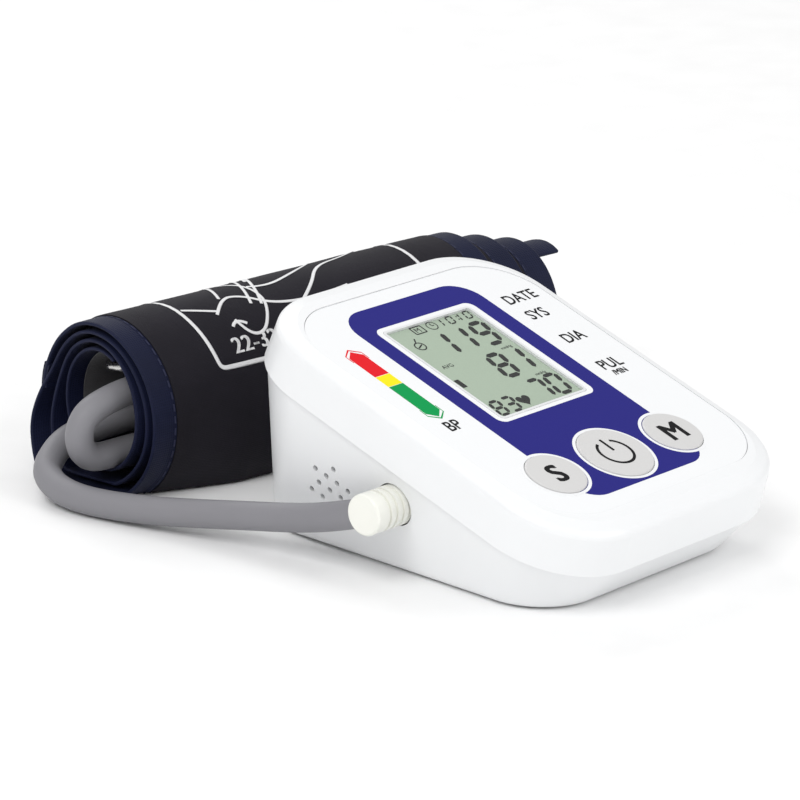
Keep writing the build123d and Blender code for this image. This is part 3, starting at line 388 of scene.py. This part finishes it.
def woven(name, colour, thread=0.00045, rough=0.62, sheen=0.3, depth=0.35, crease=0.25):
    """Plain weave on the flat cloth's UV; thread is the distance between threads in metres.

    A wave texture of scale 1 repeats after wave_repeat metres.
    """
    made = bpy.data.materials.new(name)
    made.use_nodes = True
    tree = made.node_tree
    shader = tree.nodes["Principled BSDF"]
    shader.inputs["Sheen Weight"].default_value = sheen
    shader.inputs["Sheen Roughness"].default_value = 0.4
    shader.inputs["Specular IOR Level"].default_value = 0.16
    shader.inputs["Roughness"].default_value = rough
    where = tree.nodes.new("ShaderNodeTexCoord")
    threads = []
    for direction in ("X", "Y"):
        wave = tree.nodes.new("ShaderNodeTexWave")
        wave.bands_direction = direction
        wave.inputs["Scale"].default_value = wave_repeat / thread
        wave.inputs["Distortion"].default_value = 0.6
        wave.inputs["Detail"].default_value = 1.0
        tree.links.new(where.outputs["UV"], wave.inputs["Vector"])
        threads.append(wave)
    weave = tree.nodes.new("ShaderNodeMath")
    weave.operation = "MAXIMUM"
    for side, wave in enumerate(threads):
        tree.links.new(wave.outputs["Fac"], weave.inputs[side])
    creases = tree.nodes.new("ShaderNodeTexNoise")
    creases.inputs["Scale"].default_value = 55.0
    creases.inputs["Detail"].default_value = 5.0
    tree.links.new(where.outputs["Object"], creases.inputs["Vector"])
    # Painted light and shade: the colour is darker in the gaps between threads and in crease hollows,
    # lighter on the threads and on crease ridges.
    tint = tree.nodes.new("ShaderNodeMix")
    tint.data_type = "RGBA"
    tint.inputs["A"].default_value = (*[c * 0.6 for c in colour], 1)
    tint.inputs["B"].default_value = (*[c * 1.35 for c in colour], 1)
    painted_shade = tree.nodes.new("ShaderNodeMath")
    painted_shade.operation = "MULTIPLY"
    tree.links.new(weave.outputs["Value"], painted_shade.inputs[0])
    tree.links.new(creases.outputs["Fac"], painted_shade.inputs[1])
    tree.links.new(painted_shade.outputs["Value"], tint.inputs["Factor"])
    tree.links.new(tint.outputs["Result"], shader.inputs["Base Color"])
    broad = tree.nodes.new("ShaderNodeBump")
    broad.inputs["Strength"].default_value = crease
    broad.inputs["Distance"].default_value = 0.003
    tree.links.new(creases.outputs["Fac"], broad.inputs["Height"])
    relief = tree.nodes.new("ShaderNodeBump")
    relief.inputs["Strength"].default_value = depth
    relief.inputs["Distance"].default_value = 0.0002
    tree.links.new(weave.outputs["Value"], relief.inputs["Height"])
    tree.links.new(broad.outputs["Normal"], relief.inputs["Normal"])
    tree.links.new(relief.outputs["Normal"], shader.inputs["Normal"])
    return made


cloth_black = woven("cloth_black", (0.014, 0.0125, 0.0185), rough=0.7, sheen=0.02)
tape_navy = woven("tape_navy", (0.0075, 0.0105, 0.036), thread=0.0007, rough=0.6, sheen=0.03, crease=0.1)
thread_navy = finish("thread_navy", (0.012, 0.016, 0.05), 0.7, grain=3000, bump=0.3)
wear(cover, cloth_black)

# %% [markdown]
# ### Bindings and stitches
# Navy tape is folded over both edges of the sheet and sewn down. Each binding is wound like the cloth,
# a little thinner and closer to the axis, and a row of short thread bars follows it near its inner
# edge. A thicker tape closes the outer end of the sheet.

# %% Bindings
for side, w_from, w_to in (("left", -0.002, 0.064), ("right", 0.936, 1.002)):
    tape = wound(side + "_tape", 0, sheet_length, w_from, w_to, cloth_rows, 6, -0.42, 1.1)
    rounding = tape.modifiers.new("fold", "BEVEL")
    rounding.width = 0.0007
    rounding.segments = 2
    rounding.limit_method = "ANGLE"
    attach(tape, "cuff_set")
    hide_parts(side + "_binding")
    wear(tape, tape_navy)
end_tape = wound("end_tape", 0.0, 7.0, 0.0, 1.0, 8, 60, 0.25, 2.3)
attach(end_tape, "cuff_set")
wear(end_tape, tape_navy)


# %% Stitches along the tapes
def stitch_row(name, w, s_from, s_to, pitch=3.2, long=2.0, wide=0.4, lift=-0.4):
    """Short thread bars that follow the roll at one place across the cloth."""
    row = bmesh.new()
    s = s_from
    while s < s_to:
        here = on_roll(s, w, lift)
        ahead = (on_roll(s + 0.5, w, lift) - here).normalized()
        side = (on_roll(s, w + 0.01, lift) - here).normalized()
        out = ahead.cross(side).normalized()
        pose = Matrix((ahead * long * MM, side * wide * MM, out * wide * MM)).transposed().to_4x4()
        pose.translation = here
        bmesh.ops.create_cube(row, size=1.0, matrix=pose)
        s += pitch
    bmesh.ops.recalc_face_normals(row, faces=row.faces)
    made = to_mesh(name, row)
    wear(made, thread_navy)
    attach(made, "cuff_set")
    return made


stitches = [
    stitch_row("left_stitches", 0.052, 2, sheet_length - 2),
    stitch_row("right_stitches", 0.948, 2, sheet_length - 2),
]

# %% [markdown]
# ### Print on the cuff
# White lines on the cloth show how the cuff goes round an arm. They are drawn flat, in millimetres
# across and along the sheet, as round-section curves pressed thin, then carried onto the roll.

# %% White line drawing
print_margin = 3.3
print_lift = 0.04


def lay_on_cloth(name, meshes, material, press=0.1):
    """Carry flat meshes (x across, y against the length, z thickness) onto the outer turn."""
    art = bmesh.new()
    for mesh in meshes:
        art.from_mesh(mesh)
    for vertex in art.verts:
        s = -vertex.co.y
        w = (vertex.co.x - print_margin) / cuff_width
        vertex.co = on_roll(s, w, print_lift + cloth_ripple * wave_at(s, w) + press * vertex.co.z)
    made = to_mesh(name, art)
    wear(made, material)
    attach(made, "cuff_set")
    return made


def meshed(curve):
    """The mesh that a curve or text makes, from an object that is removed again."""
    holder = bpy.data.objects.new("flat_shape", curve)
    bpy.context.collection.objects.link(holder)
    bpy.context.view_layer.update()
    mesh = bpy.data.meshes.new_from_object(holder.evaluated_get(bpy.context.evaluated_depsgraph_get()))
    bpy.data.objects.remove(holder)
    return mesh


def stroke(points, wide=0.55, closed=False):
    """One smooth line of the drawing; points are (across, along) in millimetres."""
    curve = bpy.data.curves.new("stroke", "CURVE")
    curve.dimensions = "3D"
    line = curve.splines.new("NURBS")
    line.points.add(len(points) - 1)
    for point, (w, s) in zip(line.points, points):
        point.co = (w, -s, 0, 1)
    line.order_u = 3
    line.use_endpoint_u = not closed
    line.use_cyclic_u = closed
    line.resolution_u = 8
    curve.bevel_depth = wide
    curve.bevel_resolution = 1
    curve.use_fill_caps = True
    return meshed(curve)


white_print = finish("white_print", (0.75, 0.75, 0.76), 0.5, mottle=0.08, grain=2500, bump=0.1)
drawing = [
    (((28, 42), (33, 44), (38.5, 46)), 0.45),
    (((37, 47), (43, 41), (49, 41.5), (56, 48), (72, 49.5), (84, 48)), 0.5),
    (((41, 50), (42.5, 55), (48, 56), (53, 50), (55.5, 44), (54, 35), (48, 28), (46, 20)), 0.5),
    (((39, 52), (41, 49.5), (44, 52)), 0.5), (((42.5, 41), (45, 35), (50, 22), (57, 12), (64, 9)), 0.5),
    (((50, 46), (55, 34), (61, 20), (70, 8)), 0.5), (((53, 47), (58, 36), (65, 22), (76, 8)), 0.5),
    (((55, 38), (60, 40.5), (72, 37), (84, 31), (88, 25), (82, 18), (74, 15), (64, 22), (58, 34)), 0.5),
    (((62, 52), (72, 46), (82, 36), (95, 33), (104, 28), (105, 21), (96, 10)), 0.5),
]
frame_line = (
    (27, 10), (26.5, 40), (28.3, 59), (28.8, 62.2), (32, 62.6), (70, 62.6), (109, 62.6), (112, 62),
    (112, 58), (112, 34), (113, 9), (113, 5), (109, 4.5), (70, 4.5), (31, 5), (27, 6),
)
art = [stroke(points, wide) for points, wide in drawing]
art.append(stroke(frame_line, 0.65, closed=True))
capital_share = 0.69
note_across, note_along, note_tall, note_weight = 35.5, 59.5, 4.4, 0.2
note = bpy.data.curves.new("cuff_note", "FONT")
note.body = "22-32 cm"
note.size = note_tall / capital_share
note.extrude = 0.3
note.space_character = 1.1
for shift in (-note_weight, 0.0, note_weight):
    note_mesh = meshed(note)
    note_mesh.transform(Matrix.Translation((note_across + shift, -note_along, 0)))
    art.append(note_mesh)
cuff_print = lay_on_cloth("cuff_print", art, white_print)

# %% [markdown]
# ## Printed face
# The face film is printed: a blue panel behind the display and keys, a coloured level bar and black
# legends. Each colour is a film cut from a filled flat curve, because a curve with inner outlines
# gets its holes by itself. The films are placed in the plane of the sloping face.

# %% The plane of the face
slope = math.radians(18.1)
face_origin = Vector((0, -8.8, 44.2)) * MM
face_right = Vector((1, 0, 0))
face_up = Vector((0, math.cos(slope), math.sin(slope)))
face_out = Vector((0, -math.sin(slope), math.cos(slope)))
face_place = Matrix((face_right, face_up, face_out)).transposed().to_4x4()
face_place.translation = face_origin
display_x = -2.15
display_v = 13.75
button_v = -34.6
key_spread = 24.7
film_height = -0.2
key_height = 0.3


def to_face(curve, height, thick):
    """Make a flat curve in millimetres into a mesh that lies on the face."""
    curve.extrude = thick / 2
    mesh = meshed(curve)
    raise_film = Matrix.Translation((0, 0, height + thick / 2))
    mesh.transform(face_place @ Matrix.Scale(MM, 4) @ raise_film)
    return mesh


def outline_mesh(loops, height, thick=0.06):
    """Film cut along closed outlines; an outline inside another is a hole."""
    curve = bpy.data.curves.new("outline", "CURVE")
    curve.dimensions = "2D"
    curve.fill_mode = "BOTH"
    for loop in loops:
        line = curve.splines.new("POLY")
        line.points.add(len(loop) - 1)
        for point, (x, v) in zip(line.points, loop):
            point.co = (x, v, 0, 1)
        line.use_cyclic_u = True
    return to_face(curve, height, thick)


def word_mesh(words, x, v, tall, height, thick=0.06, align="LEFT", narrow=1.0):
    """A legend whose capitals are tall millimetres high, with its baseline at v."""
    curve = bpy.data.curves.new("legend", "FONT")
    curve.body = words
    curve.size = tall / capital_share
    curve.align_x = align
    curve.resolution_u = 4
    mesh = to_face(curve, height, thick)
    mesh.transform(Matrix.Scale(narrow, 4, face_right))
    mesh.transform(Matrix.Translation((face_right * x + face_up * v) * MM))
    return mesh


def bold_word(words, x, v, tall, height, weight, align="LEFT", narrow=1.0):
    """The same legend several times, a little apart, so that its strokes grow heavier."""
    copies = []
    for step, (a, b) in enumerate(((-1, -1), (-1, 1), (1, -1), (1, 1), (0, 0))):
        place = (x + weight * a, v + weight * b * 0.6)
        copies.append(word_mesh(words, *place, tall, height - 0.004 * step, align=align, narrow=narrow))
    return copies


def film(name, meshes, material, body):
    """Join films of one ink into one piece."""
    joined = bmesh.new()
    for mesh in meshes:
        joined.from_mesh(mesh)
    bmesh.ops.remove_doubles(joined, verts=joined.verts, dist=2e-7)
    bmesh.ops.recalc_face_normals(joined, faces=joined.faces)
    made = to_mesh(name, joined)
    wear(made, material)
    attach(made, body)
    return made


# %% Outlines: rounded panel, ring, bar and display segments
def rounded(x0, v0, x1, v1, top, bottom=None):
    """Rectangle with rounded corners, anticlockwise from the lower right corner."""
    bottom = top if bottom is None else bottom
    loop = []
    for cx, cv, radius, start in (
        (x1, v0, bottom, -90), (x1, v1, top, 0), (x0, v1, top, 90), (x0, v0, bottom, 180),
    ):
        cx += -radius if cx == x1 else radius
        cv += -radius if cv == v1 else radius
        for step in range(9):
            angle = math.radians(start + step * 11.25)
            loop.append((cx + radius * math.cos(angle), cv + radius * math.sin(angle)))
    return loop


def circle(x, v, radius, steps=64):
    """A round outline."""
    turns = [2 * math.pi * step / steps for step in range(steps)]
    return [(x + radius * math.cos(angle), v + radius * math.sin(angle)) for angle in turns]


def bar(x0, v0, x1, v1, half):
    """A stroke with pointed ends, as in a display segment."""
    along = Vector((x1 - x0, v1 - v0)).normalized() * half
    side = Vector((-along.y, along.x))
    a, b = Vector((x0, v0)), Vector((x1, v1))
    corners = (a, a + along + side, b - along + side, b, b - along - side, a + along - side)
    return [tuple(corner) for corner in corners]


LIT = {
    "0": "abcdef", "1": "bc", "3": "abcdg", "7": "abc", "8": "abcdefg", "9": "abcdfg",
}
ENDS = {
    "a": (0, 2, 1, 2), "b": (1, 2, 1, 1), "c": (1, 1, 1, 0), "d": (0, 0, 1, 0),
    "e": (0, 1, 0, 0), "f": (0, 2, 0, 1), "g": (0, 1, 1, 1),
}


def digit(number, x, v, wide, tall, half, lean=0.16):
    """Outlines of one seven segment digit that leans to the right."""
    loops = []
    for name in LIT[number]:
        ends = ENDS[name]
        gap = half * 0.35
        x0, v0 = x + ends[0] * wide, v + ends[1] * tall / 2
        x1, v1 = x + ends[2] * wide, v + ends[3] * tall / 2
        run = Vector((x1 - x0, v1 - v0)).normalized() * gap
        loop = bar(x0 + run.x, v0 + run.y, x1 - run.x, v1 - run.y, half)
        loops.append([(a + (b - v) * lean, b) for a, b in loop])
    return loops


# %% Blue panel, level bar and legends
ink_blue = finish("ink_blue", (0.019, 0.018, 0.195), 0.35, mottle=0.03, grain=1500, shine=0.06)
ink_black = finish("ink_black", (0.01, 0.01, 0.011), 0.45, mottle=0.1, grain=1500, shine=0.06)
ink_red = finish("ink_red", (0.72, 0.012, 0.02), 0.35, grain=1500, shine=0.05)
ink_yellow = finish("ink_yellow", (0.9, 0.76, 0.015), 0.35, grain=1500, shine=0.05)
ink_green = finish("ink_green", (0.003, 0.3, 0.075), 0.35, grain=1500, shine=0.05)
panel_loops = [
    rounded(-27.7, -47.4, 24.2, 47.4, 9.0, 8.0),
    rounded(-22.0, -10.7, 17.9, 38.3, 2.8),
    circle(display_x, button_v, 11.9),
]
panel = outline_mesh(panel_loops, film_height - 0.03)
film("blue_panel", [panel], ink_blue, "monitor")
key_places = [display_x + side * key_spread for side in (-1, 1)]
ring_loops = [[circle(x, button_v, radius, 96) for radius in (9.75, 8.8)] for x in key_places]
rings = [outline_mesh(loops, film_height - 0.01) for loops in ring_loops]
film("key_rings", rings, film_white, "monitor")

bar_x, bar_half = -36.6, 2.75
bar_left, bar_right = bar_x - bar_half, bar_x + bar_half
tip = 2.4
red_top, red_foot, yellow_top, yellow_foot, green_top, green_foot = 30.6, 20.9, 20.7, 15.8, 15.6, 1.8
level_parts = (
    ("level_red", ink_red, [
        (bar_left, red_foot), (bar_right, red_foot), (bar_right, red_top),
        (bar_x, red_top + tip), (bar_left, red_top),
    ]),
    ("level_yellow", ink_yellow, [
        (bar_left, yellow_foot), (bar_right, yellow_foot), (bar_right, yellow_top), (bar_left, yellow_top),
    ]),
    ("level_green", ink_green, [
        (bar_x, green_foot - tip), (bar_right, green_foot), (bar_right, green_top),
        (bar_left, green_top), (bar_left, green_foot),
    ]),
)
for name, ink, loop in level_parts:
    film(name, [outline_mesh([loop], film_height - 0.01)], ink, "monitor")
rim = 0.45
wide, narrow = bar_half + rim, bar_half + 0.5 * rim
chevrons = (("level_rim_top", ink_red, 28.6, 34.2), ("level_rim_end", ink_green, 3.8, -1.8))
for name, ink, foot, point in chevrons:
    lean = math.copysign(tip, point - foot)
    chevron = [
        (bar_x - wide, foot), (bar_x - wide, point - lean), (bar_x, point),
        (bar_x + wide, point - lean), (bar_x + wide, foot), (bar_x + narrow, foot),
        (bar_x + narrow, point - 1.1 * lean), (bar_x, point - 0.25 * lean),
        (bar_x - narrow, point - 1.1 * lean), (bar_x - narrow, foot),
    ]
    film(name, [outline_mesh([chevron], film_height - 0.02)], ink, "monitor")
legends = (
    ("DATE", 28.6, 31.9, 4.2), ("SYS", 29.2, 23.4, 4.2), ("DIA", 29.6, 10.3, 4.2),
    ("PUL", 28.9, -4.1, 4.2), ("/MIN", 30.2, -7.3, 2.2), ("BP", -39.0, -7.4, 4.2),
)
legend_films = []
for words, x, v, tall in legends:
    legend_films += bold_word(words, x, v, tall, film_height - 0.01, 0.08, narrow=0.84)
film("face_legends", legend_films, ink_black, "monitor")

# %% [markdown]
# ## Display
# A liquid crystal display shows dark segments in a grey green cell behind a clear window. The picture
# sits close under the window's top, so that it keeps its place when it is seen from the side.

# %% Display picture
cell_green = finish("cell_green", (0.36, 0.44, 0.345), 0.4, mottle=0.02, grain=600, shine=0.05)
segment_black = finish("segment_black", (0.006, 0.0065, 0.006), 0.5, mottle=0.1, grain=1500, shine=0.03)
half_wide, half_tall = 17.1, 22.1
picture_height, segment_height = -0.9, -0.83
picture = rounded(
    display_x - half_wide, display_v - half_tall, display_x + half_wide, display_v + half_tall, 0.8
)
picture_film = outline_mesh([picture], picture_height, 0.05)
film("display_picture", [picture_film], cell_green, "monitor")
readings = []
for number, x, v, wide, tall, half in (
    ("1", -9.3, 20.3, 5.0, 10.0, 0.85), ("1", -1.7, 20.3, 5.0, 10.0, 0.85),
    ("9", 7.0, 19.9, 5.2, 10.0, 0.85),
    ("8", -0.9, 5.9, 5.2, 10.0, 0.85), ("1", 6.6, 5.9, 4.6, 10.0, 0.85),
    ("7", 0.9, -6.6, 4.4, 8.4, 0.72), ("0", 7.6, -6.6, 4.6, 8.4, 0.72),
    ("8", -18.0, -7.2, 3.4, 6.0, 0.56), ("3", -12.9, -7.2, 3.4, 6.0, 0.56),
    ("1", -0.2, 32.4, 2.1, 3.2, 0.27), ("0", 4.4, 32.4, 2.1, 3.2, 0.27),
    ("1", 7.2, 32.4, 2.1, 3.2, 0.27), ("0", 11.6, 32.4, 2.1, 3.2, 0.27),
):
    readings += digit(number, x, v, wide, tall, half)
readings += [circle(8.6, 33.3, 0.25, 12), circle(8.8, 34.6, 0.25, 12)]
readings += [rounded(-18.0, 7.2, -16.2, 11.0, 0.2)]
heart = []
for step in range(48):
    t = 2 * math.pi * step / 48
    wide = 16 * math.sin(t) ** 3
    tall = 13 * math.cos(t) - 5 * math.cos(2 * t) - 2 * math.cos(3 * t) - math.cos(4 * t)
    heart.append((-5.6 + wide * 0.15, -4.3 + tall * 0.155))
readings.append(heart)
memory_box = [rounded(-10.0, 32.2, -5.4, 35.8, 0.5), rounded(-9.6, 32.6, -5.8, 35.4, 0.3)]
clock = (-2.0, 34.0)
clock_face = [circle(*clock, 1.9, 32), circle(*clock, 1.6, 32)]
clock_hands = [bar(*clock, -2.0, 35.3, 0.15), bar(*clock, -1.0, 34.0, 0.15)]
arm_mark = [circle(-13.6, 27.6, 1.9, 32), circle(-13.6, 27.6, 1.5, 32)]
arm_lines = [bar(-13.6, 29.4, -12.4, 31.2, 0.22), bar(-14.8, 27.0, -12.4, 28.2, 0.22)]
marks = [outline_mesh([loop], segment_height, 0.03) for loop in readings + clock_hands + arm_lines]
marks += [outline_mesh(loops, segment_height, 0.03) for loops in (memory_box, clock_face, arm_mark)]
small_words = (
    ("M", -9.1, 33.0, 2.0), ("AVG", -16.0, 16.3, 1.5), ("mmHg", 8.6, 16.6, 1.1), ("mmHg", 7.8, 2.9, 1.1),
)
marks += [word_mesh(words, x, v, tall, segment_height, 0.03) for words, x, v, tall in small_words]
film("display_reading", marks, segment_black, "monitor")

window_clear = finish("window_clear", (0.9, 0.93, 0.92), 0.08, mottle=0.01, grain=300, bump=0.0)
window_shader = window_clear.node_tree.nodes["Principled BSDF"]
window_shader.inputs["Alpha"].default_value = 0.05
window_shader.inputs["Specular IOR Level"].default_value = 0.2
window_shader.inputs["IOR"].default_value = 1.49
wear(nodes["display_window"], window_clear)

# %% [markdown]
# ## Marks on the keys
# The keys carry a power sign and two letters. They ride on their keys, so they go down with them.

# %% Key marks
ring_opens, ring_sweep, ring_steps = 118, 304, 40
arc = [math.radians(ring_opens + step * ring_sweep / ring_steps) for step in range(ring_steps + 1)]
power_ring = []
for radius, turns in ((5.6, arc), (4.75, arc[::-1])):
    power_ring += [(display_x + radius * math.cos(a), button_v + radius * math.sin(a)) for a in turns]
power_line = rounded(display_x - 0.43, button_v + 0.6, display_x + 0.43, button_v + 6.0, 0.25)
power_marks = [outline_mesh([loop], key_height - 0.02) for loop in (power_ring, power_line)]
film("power_mark", power_marks, ink_black, "power_key")
for letter, x, body in zip("SM", key_places, ("set_key", "memory_key")):
    mark = bold_word(letter, x, button_v - 3.5, 6.9, key_height - 0.02, 0.3, "CENTER")
    film(body + "_mark", mark, ink_black, body)

# %% [markdown]
# ## Closing patch and label
# A strip of hook fastener shows on the outside of the roll, and a woven size label inside it. The label
# is coloured dark grey as painted shade, for the shadow that falls on it inside the roll.

# %% Patch and label
hook_black = finish("hook_black", (0.02, 0.02, 0.026), 0.75, mottle=0.25, grain=1400, bump=0.9, sheen=0.3)
# Painted shade: the dark grey of the size label stands for the shadow inside the roll.
label_in_painted_shade = finish("label_in_painted_shade", (0.06, 0.058, 0.062), 0.6, mottle=0.05, grain=2500, bump=0.4, sheen=0.2)
hook_patch = wound("hook_patch", 1.3, 13.4, 0.15, 0.85, 12, 50, 0.35, 0.5)
size_tag = wound("size_tag", sheet_length - 40, sheet_length - 8, 0.03, 0.4, 30, 20, -2.05, 0.3)
for piece, node, slot, material in (
    (hook_patch, "closure_patch", "hook_fabric", hook_black),
    (size_tag, "size_label", "label_cloth", label_in_painted_shade),
):
    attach(piece, "cuff_set")
    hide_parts(node)
    wear(piece, material)
